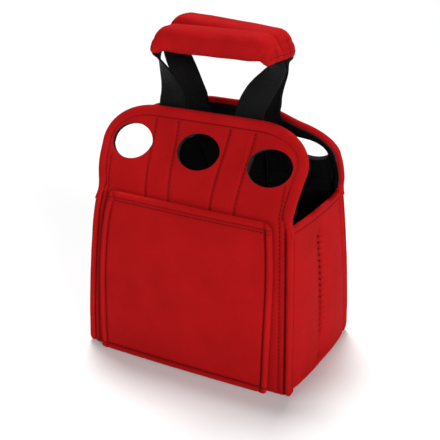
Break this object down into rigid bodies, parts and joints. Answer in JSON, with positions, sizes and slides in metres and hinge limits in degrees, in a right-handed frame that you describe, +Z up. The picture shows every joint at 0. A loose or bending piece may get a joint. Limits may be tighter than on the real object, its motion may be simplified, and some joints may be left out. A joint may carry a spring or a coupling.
{
  "type": "six pack carrier",
  "caption": "Soft bottle carrier with a divided tub, a front pocket, two leaning flaps with neck holes, and two padded strap handles.",
  "frame": {"origin": "middle of the footprint, on the floor", "axes": "+X to the right as seen from the pocket side, -Y out of the pocket, +Z up"},
  "size_m": [0.206, 0.141, 0.2946],
  "materials": {
    "red_neoprene": "matt knitted face",
    "black_neoprene": "matt knitted face",
    "black_webbing": "ribbed weave",
    "grip_foam": "matt closed-cell foam"
  },
  "bodies": {
    "tub": {"base_panel": "black_neoprene", "front_wall": "red_neoprene", "back_wall": "red_neoprene", "left_gusset": "red_neoprene", "right_gusset": "red_neoprene", "front_left_corner_seam": "red_neoprene", "front_right_corner_seam": "red_neoprene", "back_left_corner_seam": "red_neoprene", "back_right_corner_seam": "red_neoprene", "left_gusset_hem": "red_neoprene", "right_gusset_hem": "red_neoprene", "centre_divider": "black_neoprene", "front_left_divider": "black_neoprene", "front_right_divider": "black_neoprene", "back_left_divider": "black_neoprene", "back_right_divider": "black_neoprene", "front_left_strap_anchor": "black_webbing", "front_right_strap_anchor": "black_webbing", "back_left_strap_anchor": "black_webbing", "back_right_strap_anchor": "black_webbing", "pocket_panel": "red_neoprene", "pocket_top_hem": "red_neoprene", "pocket_left_ridge": "red_neoprene", "pocket_right_ridge": "red_neoprene", "pocket_bottom_ridge": "red_neoprene"},
    "front_flap_body": {"front_flap": "red_neoprene", "front_flap_hem": "red_neoprene", "front_left_strap_tail": "black_webbing", "front_right_strap_tail": "black_webbing"},
    "back_flap_body": {"back_flap": "red_neoprene", "back_flap_hem": "red_neoprene", "back_left_strap_tail": "black_webbing", "back_right_strap_tail": "black_webbing"},
    "front_handle": {"front_left_strap": "black_webbing", "front_right_strap": "black_webbing", "front_grip_webbing": "black_webbing", "front_grip_foam": "grip_foam", "front_grip_sleeve": "red_neoprene"},
    "back_handle": {"back_left_strap": "black_webbing", "back_right_strap": "black_webbing", "back_grip_webbing": "black_webbing", "back_grip_foam": "grip_foam", "back_grip_sleeve": "red_neoprene"}
  },
  "joints": [
    {"name": "front_flap_fold", "type": "hinge", "parent": "tub", "child": "front_flap_body", "pos_m": [0, -0.05565, 0.152], "axis": [1, 0, 0], "range_deg": [0, 100]},
    {"name": "back_flap_fold", "type": "hinge", "parent": "tub", "child": "back_flap_body", "pos_m": [0, 0.06015, 0.152], "axis": [-1, 0, 0], "range_deg": [0, 100]},
    {"name": "front_handle_fold", "type": "hinge", "parent": "front_flap_body", "child": "front_handle", "pos_m": [0, -0.02479, 0.222], "axis": [1, 0, 0], "range_deg": [0, 135]},
    {"name": "back_handle_fold", "type": "hinge", "parent": "back_flap_body", "child": "back_handle", "pos_m": [0, 0.02929, 0.222], "axis": [-1, 0, 0], "range_deg": [0, 135]}
  ]
}
